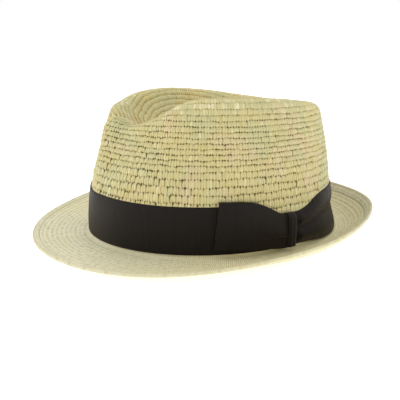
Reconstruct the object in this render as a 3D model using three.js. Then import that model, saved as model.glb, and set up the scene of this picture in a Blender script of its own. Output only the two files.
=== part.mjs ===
// Straw trilby with a teardrop crown, a gathered ribbon band and a flat bow.
// Millimetres, +Z up. The front of the hat faces -Y and the wearer's left side, with the bow, is +X.
// Heights are measured from the brim break, where the brim meets the crown. At the end the whole hat
// is moved so that it lies on z = 0, with its middle from side to side and front to back on the Z axis.
// Angles run round the hat from the front, 0 degrees, by the wearer's left side, 90 degrees.

import * as THREE from 'three';
import { mergeVertices } from 'three/addons/utils/BufferGeometryUtils.js';

// Head opening, measured outside the straw at the brim break
const headLength = 200;
const headWidth = 165;

// Crown
const crownWall = 2;
const crownHeight = 104.5;
const rimLength = 158;
const rimWidth = 128;
const rimBackShift = -1.5;
const rimRadius = 8;
const rimSkew = 2.5;
const creaseDepth = 32;
const pinchInset = 4.5;

// Brim
const brimWall = 1.7;
const brimBend = 2.5;
const brimFlat = 5;
const brimReach = 42.5;
const brimRise = 20.7;
const collarHeight = 14;
const hemWidth = 5;
const hemThickness = 2.4;

// Ribbon band, drawn together towards the knot of the bow. The pleats behind the knot are highest at a
// share of their spread.
const ribbonWall = 0.9;
const bandWidth = 33.3;
const gatherDip = 9.2;
const gatherSpread = 28;
const pleatRelief = 3.6;
const pleatSpread = 46;
const pleatCount = 2;
const pleatMiddle = 0.6;

// Bow: its knot is at an angle round the hat, and its loop lies in front of the knot. Rise and spread
// of the loop's pleat are shares of the ribbon's width, edge puff is the share of the puff left at its
// edges, tuck and swell are shares of the strap's stand-off and wall.
const knotAngle = 97.8;
const knotWidth = 6.4;
const knotOverhang = 1.2;
const loopLength = 55.5;
const loopSlant = 3;
const loopRaise = 3.5;
const loopPuff = 2;
const loopDrawn = 21;
const loopPleat = 1.6;
const loopPleatRise = 0.42;
const loopPleatSpread = 0.16;
const loopEdgePuff = 0.45;
const knotTuck = 0.55;
const knotSwell = 0.4;

// Clearances between pieces
const seatGap = 0.3;
const layerGap = 0.5;

// Divisions of the faceted solids
const divisionsAround = 72;
const bandRows = 8;
const loopSteps = 16;

// Crest of the crown by angle. Height is a share of crownHeight, press a share of pinchInset and roll,
// the radius of the rounded rim, a share of rimRadius. Skew is a share of rimSkew, by which the soft
// crown stands higher on the wearer's left and lower on the right.
const rimRows = [
  { angle: 0, height: 0.852, skew: 0.0, press: 0.0, roll: 1.2 },
  { angle: 11, height: 0.8, skew: 0.1, press: 1.0, roll: 1.0 },
  { angle: 27, height: 0.833, skew: 0.2, press: 0.55, roll: 1.0 },
  { angle: 38, height: 0.894, skew: -0.15, press: 0.2, roll: 1.0 },
  { angle: 48, height: 0.942, skew: 0.9, press: 0.05, roll: 1.0 },
  { angle: 60, height: 0.982, skew: 0.95, press: 0.0, roll: 1.0 },
  { angle: 82, height: 0.998, skew: 0.55, press: 0.0, roll: 1.0 },
  { angle: 105, height: 0.982, skew: 0.5, press: 0.0, roll: 1.0 },
  { angle: 130, height: 0.946, skew: 0.5, press: 0.0, roll: 1.05 },
  { angle: 155, height: 0.915, skew: 0.4, press: 0.0, roll: 1.15 },
  { angle: 180, height: 0.905, skew: 0.0, press: 0.0, roll: 1.2 },
];

// Crown wall from the break to the rim: the share of its taper, and of a front pinch, by height share
const wallRows = [
  { up: 0.0, inset: 0.0, pinch: 0.0 },
  { up: 0.2, inset: 0.04, pinch: 0.0 },
  { up: 0.42, inset: 0.16, pinch: 0.08 },
  { up: 0.64, inset: 0.4, pinch: 0.3 },
  { up: 0.84, inset: 0.71, pinch: 0.68 },
  { up: 1.0, inset: 1.0, pinch: 1.0 },
];

// Rolled rim in degrees of its arc: it starts on the wall, its crest is at 90, and it ends in the crease
const rollStart = 14;
const rollAngles = [40, 65, 90, 115, 138];

// Crease: the share of the way in from the rim to the pole, and of its depth reached there
const creaseRows = [
  { inward: 0.12, drop: 0.3 },
  { inward: 0.3, drop: 0.64 },
  { inward: 0.55, drop: 0.9 },
  { inward: 0.8, drop: 0.985 },
  { inward: 1.0, drop: 1.0 },
];

// Brim edge by angle, the same on both sides: out from the head oval as a share of brimReach,
// and up from the break as a share of brimRise
const brimEdges = [
  { angle: 0, reach: 1.0, rise: 0.09 },
  { angle: 45, reach: 1.005, rise: 0.2 },
  { angle: 90, reach: 0.943, rise: 0.715 },
  { angle: 135, reach: 0.784, rise: 1.0 },
  { angle: 180, reach: 0.774, rise: 0.903 },
];

// Stations across the brim before its hem, as shares of its width from the flat to the edge, and the
// share of that width over which its slope is taken
const brimStations = [0, 0.3, 0.6];
const slopeStep = 0.01;

// Degrees round the bend between the collar and the brim
const bendTurns = [0, 45, 90];

// Rolled hem, as shares of hemWidth from its inner side and of its extra thickness. At its tip it is
// as thick as a share of hemThickness.
const hemRows = [
  { along: 0.0, swell: 0.0 },
  { along: 0.25, swell: 1.0 },
  { along: 0.8, swell: 1.0 },
];
const hemTip = 0.5;

const radians = THREE.MathUtils.degToRad;
const lerp = THREE.MathUtils.lerp;
const clamp = THREE.MathUtils.clamp;
const smooth = (t) => THREE.MathUtils.smoothstep(t, 0, 1);
const bell = (t) => Math.exp(-t * t);
const plateau = (t) => Math.exp(-(Math.abs(t) ** 3));

// Angle round the hat from its front, from 0 to 180 on both sides
function sideAngle(angle) {
  return Math.abs(((angle + 540) % 360) - 180);
}

// A table by angle with its neighbours beyond the front and back added, so that it runs smoothly there
function mirrored(rows) {
  const front = { ...rows[1], angle: -rows[1].angle };
  const back = { ...rows.at(-2), angle: 360 - rows.at(-2).angle };
  return [front, ...rows, back];
}

// Reads a table at a position between its rows, on a smooth curve through them
function readTable(rows, key, column, at) {
  const last = rows.length - 1;
  let i = 0;
  while (i < last - 1 && at > rows[i + 1][key]) i += 1;
  const a = rows[i];
  const b = rows[i + 1];
  const before = rows[Math.max(i - 1, 0)];
  const after = rows[Math.min(i + 2, last)];
  const span = b[key] - a[key];
  const t = clamp((at - a[key]) / span, 0, 1);
  const slopeA = (b[column] - before[column]) / (b[key] - before[key]);
  const slopeB = (after[column] - a[column]) / (after[key] - a[key]);
  const start = (1 + 2 * t) * (1 - t) * (1 - t) * a[column] + t * (1 - t) * (1 - t) * span * slopeA;
  const end = t * t * (3 - 2 * t) * b[column] + t * t * (t - 1) * span * slopeB;
  return start + end;
}

const rimTable = mirrored(rimRows);
const edgeTable = mirrored(brimEdges);
const readRim = (angle, column) => readTable(rimTable, 'angle', column, sideAngle(angle));
const readEdge = (angle, column) => readTable(edgeTable, 'angle', column, sideAngle(angle));

const leftward = (angle) => Math.sign(Math.sin(radians(angle)));
const skewAt = (angle) => leftward(angle) * rimSkew * readRim(angle, 'skew');
const crestHeight = (angle) => crownHeight * readRim(angle, 'height') + skewAt(angle);
const crestRadius = (angle) => rimRadius * readRim(angle, 'roll');
const pinchDepth = (angle) => pinchInset * readRim(angle, 'press');

// A point on an oval round the hat: half its width, half its length, its shift back and its height
function onOval(angle, halfWidth, halfLength, back, z) {
  const a = radians(angle);
  return new THREE.Vector3(halfWidth * Math.sin(a), back - halfLength * Math.cos(a), z);
}

const headPoint = (angle, out, z) => onOval(angle, headWidth / 2 + out, headLength / 2 + out, 0, z);

const rimPoint = (angle, out, z) => (
  onOval(angle, rimWidth / 2 + out, rimLength / 2 + out, rimBackShift, z)
);

// A point on the rounded rim, at an angle of its arc
function rollPoint(angle, arc) {
  const radius = crestRadius(angle);
  const out = radius * Math.cos(radians(arc)) - pinchDepth(angle);
  return rimPoint(angle, out, crestHeight(angle) - radius * (1 - Math.sin(radians(arc))));
}

// Height where the wall turns into the rounded rim
const wallTop = (angle) => crestHeight(angle) - crestRadius(angle) * (1 - Math.sin(radians(rollStart)));

// Outside of the crown wall at a height, moved out by a distance
function wallPoint(angle, z, out = 0) {
  const up = clamp(z / wallTop(angle), 0, 1);
  const pressed = pinchDepth(angle) * readTable(wallRows, 'up', 'pinch', up);
  const foot = headPoint(angle, out - pressed, z);
  const top = rimPoint(angle, out - pressed + crestRadius(angle) * Math.cos(radians(rollStart)), z);
  return foot.lerp(top, readTable(wallRows, 'up', 'inset', up));
}

// One line of the crown's outer surface, from its foot to the pole of the crease
function crownLine(angle, foot) {
  const line = wallRows.map((row) => wallPoint(angle, lerp(foot, wallTop(angle), row.up)));
  rollAngles.forEach((arc) => line.push(rollPoint(angle, arc)));
  const lip = line.at(-1);
  const pole = new THREE.Vector3(0, rimBackShift, crownHeight - creaseDepth);
  creaseRows.forEach((row) => {
    const point = lip.clone().lerp(pole, row.inward);
    point.z = lerp(lip.z, pole.z, row.drop);
    line.push(point);
  });
  return line;
}

// Merges shared vertices, leaves out faces without area and turns the faces outwards
function closedGeometry(positions, faces) {
  const raw = new THREE.BufferGeometry();
  raw.setAttribute('position', new THREE.Float32BufferAttribute(positions, 3));
  raw.setIndex(faces.flat());
  const merged = mergeVertices(raw);
  const index = merged.getIndex().array;
  const kept = faces
    .map((face, i) => [index[3 * i], index[3 * i + 1], index[3 * i + 2]])
    .filter(([a, b, c]) => a !== b && b !== c && c !== a);
  const at = merged.getAttribute('position');
  const corner = (i) => new THREE.Vector3().fromBufferAttribute(at, i);
  const volume = kept.reduce((sum, [a, b, c]) => sum + corner(a).dot(corner(b).cross(corner(c))), 0);
  const outward = volume > 0 ? kept : kept.map(([a, b, c]) => [a, c, b]);
  merged.setIndex(outward.flat());
  merged.computeVertexNormals();
  return merged;
}

// Joins loops of equal length into one closed body. Closed rows join their last loop to their first.
// Otherwise each end is capped by strips between the two sides of its loop, or has shrunk to a point.
function loft(loops, closed) {
  const size = loops[0].length;
  const positions = loops.flat().flatMap((p) => [p.x, p.y, p.z]);
  const faces = [];
  const quad = (a, b, c, d) => faces.push([a, b, c], [a, c, d]);
  const spans = closed ? loops.length : loops.length - 1;
  for (let i = 0; i < spans; i += 1) {
    const here = i * size;
    const next = ((i + 1) % loops.length) * size;
    for (let k = 0; k < size; k += 1) {
      const m = (k + 1) % size;
      quad(here + k, here + m, next + m, next + k);
    }
  }
  if (!closed) {
    const end = (loops.length - 1) * size;
    for (let k = 0; k < size / 2 - 1; k += 1) {
      quad(size - 1 - k, size - 2 - k, k + 1, k);
      quad(end + k, end + k + 1, end + size - 2 - k, end + size - 1 - k);
    }
  }
  return closedGeometry(positions, faces);
}

// Moves the crown's lines inwards along the surface normals. Every line ends at the same pole.
function insetLines(lines, distance) {
  const count = lines.length;
  return lines.map((line, i) => line.map((point, k) => {
    const last = line.length - 1;
    const round = lines[(i + 1) % count][k].clone().sub(lines[(i + count - 1) % count][k]);
    const along = line[Math.min(k + 1, last)].clone().sub(line[Math.max(k - 1, 0)]);
    const normal = k === last ? new THREE.Vector3(0, 0, 1) : round.cross(along).normalize();
    return point.clone().addScaledVector(normal, -distance);
  }));
}

const anglesAround = Array.from({ length: divisionsAround }, (_, i) => (360 * i) / divisionsAround);

function crownGeometry() {
  const foot = collarHeight + seatGap;
  const outer = anglesAround.map((angle) => crownLine(angle, foot));
  const inner = insetLines(outer, crownWall);
  inner.forEach((line) => {
    line[0].z = foot;
  });
  const ring = (lines, k) => lines.map((line) => line[k]);
  const rows = outer[0].map((_, k) => k);
  const loops = [
    ...rows.toReversed().map((k) => ring(outer, k)),
    ...rows.map((k) => ring(inner, k)),
  ];
  return loft(loops, false);
}

// Upper surface of the brim, as distance out and height, at a share of the way to its edge
function brimSurface(angle, share) {
  const out = lerp(brimBend + brimFlat, brimReach * readEdge(angle, 'reach'), share);
  return new THREE.Vector2(out, brimRise * readEdge(angle, 'rise') * share * share);
}

// The brim's surface moved along its normal
function brimLevel(angle, share, offset) {
  const inner = brimSurface(angle, share - slopeStep);
  const tangent = brimSurface(angle, share + slopeStep).sub(inner).normalize();
  const normal = new THREE.Vector2(-tangent.y, tangent.x);
  return brimSurface(angle, share).addScaledVector(normal, offset);
}

// Cross-section of the collar, bend, brim and rolled hem at an angle, as one closed loop
function brimSection(angle) {
  const upper = [wallPoint(angle, collarHeight)];
  const lower = [wallPoint(angle, collarHeight, -brimWall)];
  bendTurns.forEach((turn) => {
    const c = Math.cos(radians(turn));
    const s = Math.sin(radians(turn));
    const radius = brimBend + brimWall;
    upper.push(headPoint(angle, brimBend - brimBend * c, brimBend - brimBend * s));
    lower.push(headPoint(angle, brimBend - radius * c, brimBend - radius * s));
  });
  const width = brimReach * readEdge(angle, 'reach') - brimBend - brimFlat;
  const hem = hemWidth / width;
  const swell = (hemThickness - brimWall) / 2;
  const place = (share, above, below) => {
    const high = brimLevel(angle, share, above);
    const low = brimLevel(angle, share, -brimWall - below);
    upper.push(headPoint(angle, high.x, high.y));
    lower.push(headPoint(angle, low.x, low.y));
  };
  brimStations.forEach((share) => place(share, 0, 0));
  hemRows.forEach((row) => place(1 - hem * (1 - row.along), swell * row.swell, swell * row.swell));
  const blunt = (hemThickness * hemTip - brimWall) / 2;
  place(1, blunt, blunt);
  return [...upper, ...lower.reverse()];
}

function brimGeometry() {
  return loft(anglesAround.map(brimSection), true);
}

// Height of the band's foot: it stands on the collar where the bend of the brim begins
const bandLift = brimBend;

// Millimetres along the band for one degree at the knot, and how far an angle lies behind the knot
const knotRate = headPoint(knotAngle - 0.5, 0, 0).distanceTo(headPoint(knotAngle + 0.5, 0, 0));
const behindKnot = (angle) => (angle - knotAngle) * knotRate;

// How far the ribbon is drawn together at an angle, from 1 at the knot to 0 where it lies flat
function gatherAt(angle) {
  return plateau((behindKnot(angle) - knotWidth / 2) / gatherSpread);
}

// Soft pleats that spread out behind the knot, as the distance that the band stands off
function pleatAt(angle, share) {
  const behind = behindKnot(angle);
  const fan = smooth(behind / knotWidth - 1) * bell(behind / pleatSpread - pleatMiddle);
  return pleatRelief * fan * Math.sin(Math.PI * pleatCount * share) ** 2;
}

function bandEdges(angle) {
  return { low: bandLift, high: bandLift + bandWidth - gatherDip * gatherAt(angle) };
}

// Heights of the rows across a ribbon from its lower to its upper edge, as shares
const ribbonShares = Array.from({ length: bandRows + 1 }, (_, k) => k / bandRows);

function bandGeometry() {
  const loops = anglesAround.map((angle) => {
    const { low, high } = bandEdges(angle);
    const skin = (out) => ribbonShares.map((share) => (
      wallPoint(angle, lerp(low, high, share), out + pleatAt(angle, share))
    ));
    return [...skin(seatGap + ribbonWall), ...skin(seatGap).reverse()];
  });
  return loft(loops, true);
}

// Distances out from the crown wall of what lies on it at the bow
const loopSeat = seatGap + ribbonWall + seatGap;
const loopFace = loopSeat + ribbonWall + layerGap + ribbonWall;

// Fold at the loop's far end, in degrees round it: the under layer is at -90 and the upper one at 90
const foldTurns = [-45, 0, 45];

// Flat loop of ribbon: its under layer leaves the knot, folds back at the far end, and the upper
// layer returns to the knot, where it is drawn together into one pleat
function loopGeometry() {
  const shares = Array.from({ length: loopSteps + 1 }, (_, i) => i / loopSteps);
  const stations = [
    ...shares.map((along) => ({ along, turn: -90 })),
    ...foldTurns.map((turn) => ({ along: 1, turn })),
    ...shares.toReversed().map((along) => ({ along, turn: 90 })),
  ];
  const foldRadius = (ribbonWall + layerGap) / 2;
  const loops = stations.map(({ along, turn }) => {
    const across = Math.cos(radians(turn));
    const outwards = Math.sin(radians(turn));
    const drawn = bell((loopLength * along) / loopDrawn);
    const low = bandLift + loopRaise * (1 - drawn);
    const high = bandLift + bandWidth + loopRaise - (gatherDip + loopRaise) * drawn;
    const puff = loopPuff * Math.sin(Math.PI * along);
    const raised = (1 + outwards) / 2;
    const skin = (radius) => ribbonShares.map((share) => {
      const belly = puff * lerp(loopEdgePuff, 1, Math.sin(Math.PI * share));
      const pleat = loopPleat * drawn * bell((share - loopPleatRise) / loopPleatSpread);
      const lift = foldRadius + radius * outwards + raised * (belly + pleat);
      const length = (loopLength - loopSlant * share) * along + radius * across;
      const out = loopSeat + ribbonWall / 2 + lift;
      return wallPoint(knotAngle - length / knotRate, lerp(low, high, share), out);
    });
    return [...skin(foldRadius + ribbonWall / 2), ...skin(foldRadius - ribbonWall / 2).reverse()];
  });
  return loft(loops, false);
}

// Points across the strap of the knot, as shares of half its width
const knotSides = [-1, -0.4, 0.4, 1];

// Short strap that closes the bow: its upper end is tucked over the ribbon to the crown
function knotGeometry() {
  const halfTurn = knotWidth / 2 / knotRate;
  const { low, high } = bandEdges(knotAngle);
  const face = loopFace + loopPleat + layerGap;
  const path = [
    { out: seatGap, z: high + layerGap },
    { out: face * knotTuck, z: high + knotOverhang },
    { out: face, z: high - knotOverhang },
    { out: face + ribbonWall / 2, z: lerp(low, high, 0.5) },
    { out: face, z: low + knotOverhang },
  ];
  const loops = path.map(({ out, z }) => {
    const skin = (extra) => knotSides.map((side) => {
      const swell = 1 + knotSwell * (1 - side * side);
      return wallPoint(knotAngle + side * halfTurn, z, out + extra * swell);
    });
    return [...skin(ribbonWall), ...skin(0).reverse()];
  });
  return loft(loops, false);
}

function piece(name, geometry, look) {
  const mesh = new THREE.Mesh(geometry, new THREE.MeshStandardMaterial(look));
  mesh.name = name;
  return mesh;
}

const straw = { color: 0xd9cf9a, roughness: 0.75, metalness: 0 };
const fineStraw = { color: 0xd6cfa6, roughness: 0.7, metalness: 0 };
const ribbon = { color: 0x241d1a, roughness: 0.55, metalness: 0 };

const trilby = new THREE.Group();
trilby.add(piece('crown', crownGeometry(), straw));
trilby.add(piece('brim', brimGeometry(), fineStraw));
trilby.add(piece('band', bandGeometry(), ribbon));
trilby.add(piece('bow_loop', loopGeometry(), ribbon));
trilby.add(piece('bow_knot', knotGeometry(), ribbon));

const whole = new THREE.Box3().setFromObject(trilby);
const middle = whole.getCenter(new THREE.Vector3());
trilby.position.set(-middle.x, -middle.y, -whole.min.z);

export default trilby;
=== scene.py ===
import math

import bpy
import numpy as np
from mathutils import Matrix, Vector


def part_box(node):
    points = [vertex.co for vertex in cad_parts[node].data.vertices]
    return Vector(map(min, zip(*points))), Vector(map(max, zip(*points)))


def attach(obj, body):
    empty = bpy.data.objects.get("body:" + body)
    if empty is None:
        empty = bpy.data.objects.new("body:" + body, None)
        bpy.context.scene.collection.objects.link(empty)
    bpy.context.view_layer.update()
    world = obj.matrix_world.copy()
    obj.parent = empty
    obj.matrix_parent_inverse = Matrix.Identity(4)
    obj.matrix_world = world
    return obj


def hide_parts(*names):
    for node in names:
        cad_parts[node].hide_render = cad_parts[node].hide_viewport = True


# Straw trilby: crocheted crown, finely woven brim, gathered ribbon band and a flat bow.
# Sizes are in millimetres in the hat's own frame: the front faces -Y, the wearer's left is +X, and
# heights are from the brim break. place() turns them into metres in the frame of the CAD model.
# Angles run round the hat from the front, 0 degrees, by the wearer's left side, 90 degrees.

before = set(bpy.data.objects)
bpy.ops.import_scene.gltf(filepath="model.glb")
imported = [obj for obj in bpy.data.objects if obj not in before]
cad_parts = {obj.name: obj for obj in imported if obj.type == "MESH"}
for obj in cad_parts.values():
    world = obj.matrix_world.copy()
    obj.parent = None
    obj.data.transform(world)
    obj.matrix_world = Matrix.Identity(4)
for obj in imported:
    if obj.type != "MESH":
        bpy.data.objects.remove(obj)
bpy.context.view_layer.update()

MM = 0.001
rng = np.random.default_rng(20)

# Head opening and crown
HEAD_LENGTH = 200
HEAD_WIDTH = 165
CROWN_WALL = 2
CROWN_HEIGHT = 104.5
RIM_LENGTH = 158
RIM_WIDTH = 128
RIM_BACK_SHIFT = -1.5
RIM_RADIUS = 8
RIM_SKEW = 2.5
CREASE_DEPTH = 32
PINCH_INSET = 4.5
ROLL_START = 14
ROLL_END = 138

# Brim
BRIM_WALL = 1.7
BRIM_BEND = 2.5
BRIM_FLAT = 5
BRIM_REACH = 42.5
BRIM_RISE = 20.7
COLLAR_HEIGHT = 14
HEM_WIDTH = 5
HEM_THICKNESS = 2.4

# Ribbon and bow
RIBBON_WALL = 0.9
BAND_WIDTH = 33.3
BAND_LIFT = BRIM_BEND
GATHER_DIP = 9.2
GATHER_SPREAD = 28
PLEAT_RELIEF = 3.6
PLEAT_SPREAD = 46
PLEAT_START = 0.6
KNOT_ANGLE = 97.8
KNOT_WIDTH = 6.4
KNOT_OVERHANG = 1.2
LOOP_LENGTH = 55.5
LOOP_SLANT = 3
LOOP_RAISE = 3.5
LOOP_PUFF = 2
LOOP_DRAWN = 21
LOOP_PLEAT = 1.6
SEAT_GAP = 0.3
LAYER_GAP = 0.5

# Crest of the crown by angle: shares of the crown's height, of its skew to the wearer's left, of the
# pinch inset and of the rim radius
RIM = {
    "angle": [0, 11, 27, 38, 48, 60, 82, 105, 130, 155, 180],
    "height": [0.852, 0.8, 0.833, 0.894, 0.942, 0.982, 0.998, 0.982, 0.946, 0.915, 0.905],
    "skew": [0, 0.1, 0.2, -0.15, 0.9, 0.95, 0.55, 0.5, 0.5, 0.4, 0],
    "press": [0, 1, 0.55, 0.2, 0.05, 0, 0, 0, 0, 0, 0],
    "roll": [1.2, 1, 1, 1, 1, 1, 1, 1, 1.05, 1.15, 1.2],
}

# Crown wall by height share: shares of its taper and of a front pinch
WALL = {
    "up": [0, 0.2, 0.42, 0.64, 0.84, 1],
    "inset": [0, 0.04, 0.16, 0.4, 0.71, 1],
    "pinch": [0, 0, 0.08, 0.3, 0.68, 1],
}

# Crease from the rim to the pole: share of the way in and of its depth
CREASE = {
    "inward": [0, 0.12, 0.3, 0.55, 0.8, 1],
    "drop": [0, 0.3, 0.64, 0.9, 0.985, 1],
}

# Brim edge by angle: shares of the brim's reach and rise
EDGE = {
    "angle": [0, 45, 90, 135, 180],
    "reach": [1, 1.005, 0.943, 0.784, 0.774],
    "rise": [0.09, 0.2, 0.715, 1, 0.903],
}

# Height of a crochet row by its distance from the crown's foot, over the side of the hat
ROWS = {
    "run": [0, 22, 26, 38, 46, 75, 90, 104, 120, 170],
    "pitch": [5.95, 5.9, 5.5, 5.3, 3.9, 3.8, 4.4, 5.2, 5.3, 5.0],
}


def read(table, key, column, at):
    """Reads a table between its rows, on a smooth curve through them."""
    x = np.array(table[key], float)
    y = np.array(table[column], float)
    rows = np.arange(len(x))
    after = np.minimum(rows + 1, rows[-1])
    before = np.maximum(rows - 1, 0)
    slope = (y[after] - y[before]) / (x[after] - x[before])
    at = np.clip(np.asarray(at, float), x[0], x[-1])
    i = np.clip(np.searchsorted(x, at, side="right") - 1, 0, len(x) - 2)
    span = x[i + 1] - x[i]
    t = (at - x[i]) / span
    start = (1 + 2 * t) * (1 - t) ** 2 * y[i] + t * (1 - t) ** 2 * span * slope[i]
    end = t * t * (3 - 2 * t) * y[i + 1] + t * t * (t - 1) * span * slope[i + 1]
    return start + end


def mirrored(table):
    """A table by angle with its neighbours beyond the front and the back added."""
    return {
        name: [
            -values[1] if name == "angle" else values[1],
            *values,
            360 - values[-2] if name == "angle" else values[-2],
        ]
        for name, values in table.items()
    }


RIM_ROUND = mirrored(RIM)
EDGE_ROUND = mirrored(EDGE)


def side_angle(angle):
    """Angle from the front, the same on both sides."""
    return np.abs((np.asarray(angle, float) + 540) % 360 - 180)


def read_rim(angle, column):
    return read(RIM_ROUND, "angle", column, side_angle(angle))


def read_edge(angle, column):
    return read(EDGE_ROUND, "angle", column, side_angle(angle))


def smooth(t):
    t = np.clip(t, 0, 1)
    return t * t * (3 - 2 * t)


def rising(value, limits):
    """0 before the first limit and 1 beyond the second, smooth between them."""
    return smooth((value - limits[0]) / (limits[1] - limits[0]))


def bell(t):
    return np.exp(-np.square(t))


def plateau(t):
    return np.exp(-np.abs(t) ** 3)


def lerp(a, b, t):
    return a + (b - a) * t


def stack(x, y, z):
    return np.stack(np.broadcast_arrays(x, y, z), axis=-1).astype(float)


def unit(vectors):
    return vectors / np.maximum(np.linalg.norm(vectors, axis=-1, keepdims=True), 1e-9)


def on_oval(angle, half_width, half_length, back, z):
    a = np.radians(angle)
    return stack(half_width * np.sin(a), back - half_length * np.cos(a), z)


def head_point(angle, out, z):
    return on_oval(angle, HEAD_WIDTH / 2 + out, HEAD_LENGTH / 2 + out, 0, z)


def rim_point(angle, out, z):
    return on_oval(angle, RIM_WIDTH / 2 + out, RIM_LENGTH / 2 + out, RIM_BACK_SHIFT, z)


def crest_height(angle):
    leftward = np.sign(np.sin(np.radians(angle)))
    return CROWN_HEIGHT * read_rim(angle, "height") + RIM_SKEW * read_rim(angle, "skew") * leftward


def crest_radius(angle):
    return RIM_RADIUS * read_rim(angle, "roll")


def pinch_depth(angle):
    return PINCH_INSET * read_rim(angle, "press")


def roll_point(angle, arc):
    """A point on the rounded rim, at an angle of its arc."""
    radius = crest_radius(angle)
    out = radius * np.cos(np.radians(arc)) - pinch_depth(angle)
    return rim_point(angle, out, crest_height(angle) - radius * (1 - np.sin(np.radians(arc))))


def wall_top(angle):
    return crest_height(angle) - crest_radius(angle) * (1 - math.sin(math.radians(ROLL_START)))


def wall_point(angle, z, out=0.0):
    """Outside of the crown wall at a height, moved out by a distance."""
    angle, z, out = np.broadcast_arrays(angle, np.asarray(z, float), np.asarray(out, float))
    up = np.clip(z / wall_top(angle), 0, 1)
    pressed = pinch_depth(angle) * read(WALL, "up", "pinch", up)
    foot = head_point(angle, out - pressed, z)
    reach = crest_radius(angle) * math.cos(math.radians(ROLL_START))
    top = rim_point(angle, out - pressed + reach, z)
    return lerp(foot, top, read(WALL, "up", "inset", up)[..., None])


# Crown surface as a fine grid: each of its lines runs from the foot to the pole in equal steps
CROWN_FOOT = COLLAR_HEIGHT + SEAT_GAP
GRID_ROUND = 720
GRID_ALONG = 480
WALL_STEPS = 90
ROLL_STEPS = 40
CREASE_STEPS = 80
GRID_SMOOTHING = 24


def equal_steps(line, count):
    """Points at equal steps along a line of points."""
    steps = np.linalg.norm(np.diff(line, axis=0), axis=1)
    run = np.concatenate([[0], np.cumsum(steps)])
    at = np.linspace(0, run[-1], count)
    return np.stack([np.interp(at, run, line[:, k]) for k in range(3)], axis=1)


def crown_grid():
    angles = np.arange(GRID_ROUND) * 360 / GRID_ROUND
    angle = angles[:, None]
    up = np.linspace(0, 1, WALL_STEPS)[None, :]
    wall = wall_point(angle, lerp(CROWN_FOOT, wall_top(angle), up))
    roll = roll_point(angle, np.linspace(ROLL_START, ROLL_END, ROLL_STEPS)[None, 1:])
    lip = roll[:, -1:]
    pole = np.array([0, RIM_BACK_SHIFT, CROWN_HEIGHT - CREASE_DEPTH])
    inward = np.linspace(0, 1, CREASE_STEPS)[1:]
    crease = lerp(lip, pole, inward[None, :, None])
    drop = read(CREASE, "inward", "drop", inward)[None, :]
    crease[..., 2] = lerp(lip[..., 2], pole[2], drop)
    lines = np.concatenate([wall, roll, crease], axis=1)
    grid = np.stack([equal_steps(line, GRID_ALONG) for line in lines])
    for _ in range(GRID_SMOOTHING):
        grid[:, 1:-1] = (grid[:, :-2] + 2 * grid[:, 1:-1] + grid[:, 2:]) / 4
    return grid


CROWN = crown_grid()
round_step = np.roll(CROWN, -1, axis=0) - np.roll(CROWN, 1, axis=0)
along_step = np.gradient(CROWN, axis=1)
CROWN_NORMAL = unit(np.cross(round_step, along_step))
CROWN_NORMAL[:, -1] = (0, 0, 1)


def sample(grid, angle, share):
    """Reads a grid of the crown at an angle and at a share of the way from foot to pole."""
    i = (np.asarray(angle, float) % 360) / 360 * GRID_ROUND
    k = np.clip(np.asarray(share, float), 0, 1) * (GRID_ALONG - 1)
    i, k = np.broadcast_arrays(i, k)
    i0 = np.floor(i).astype(int)
    k0 = np.minimum(np.floor(k).astype(int), GRID_ALONG - 2)
    s = (i - i0)[..., None]
    t = (k - k0)[..., None]
    i0 = i0 % GRID_ROUND
    i1 = (i0 + 1) % GRID_ROUND
    near = lerp(grid[i0, k0], grid[i0, k0 + 1], t)
    far = lerp(grid[i1, k0], grid[i1, k0 + 1], t)
    return lerp(near, far, s)


def crown_at(angle, share, lift):
    """A point at a distance above the crown's outer surface."""
    lift = np.asarray(lift, float)[..., None]
    return sample(CROWN, angle, share) + lift * unit(sample(CROWN_NORMAL, angle, share))


# Brim surface
TILT_STEP = 0.05


def brim_height(angle, out):
    inner = BRIM_BEND + BRIM_FLAT
    reach = BRIM_REACH * read_edge(angle, "reach")
    share = np.maximum((out - inner) / (reach - inner), 0)
    return BRIM_RISE * read_edge(angle, "rise") * share * share


def brim_tilt(angle, out):
    """The brim's normal in its cross-section, as distance out and height."""
    rise = brim_height(angle, out + TILT_STEP) - brim_height(angle, out - TILT_STEP)
    length = np.hypot(rise, 2 * TILT_STEP)
    return -rise / length, 2 * TILT_STEP / length


def brim_point(angle, out, lift):
    across, up = brim_tilt(angle, out)
    return head_point(angle, out + across * lift, brim_height(angle, out) + up * lift)


# Where the hat's own frame lies in the CAD frame
front_tip = brim_point(0, BRIM_REACH, -(BRIM_WALL + HEM_THICKNESS / 2) / 2)
SHIFT = np.array([0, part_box("brim")[0].y / MM - front_tip[1], BRIM_WALL])


def place(points):
    return (points + SHIFT) * MM


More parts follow.
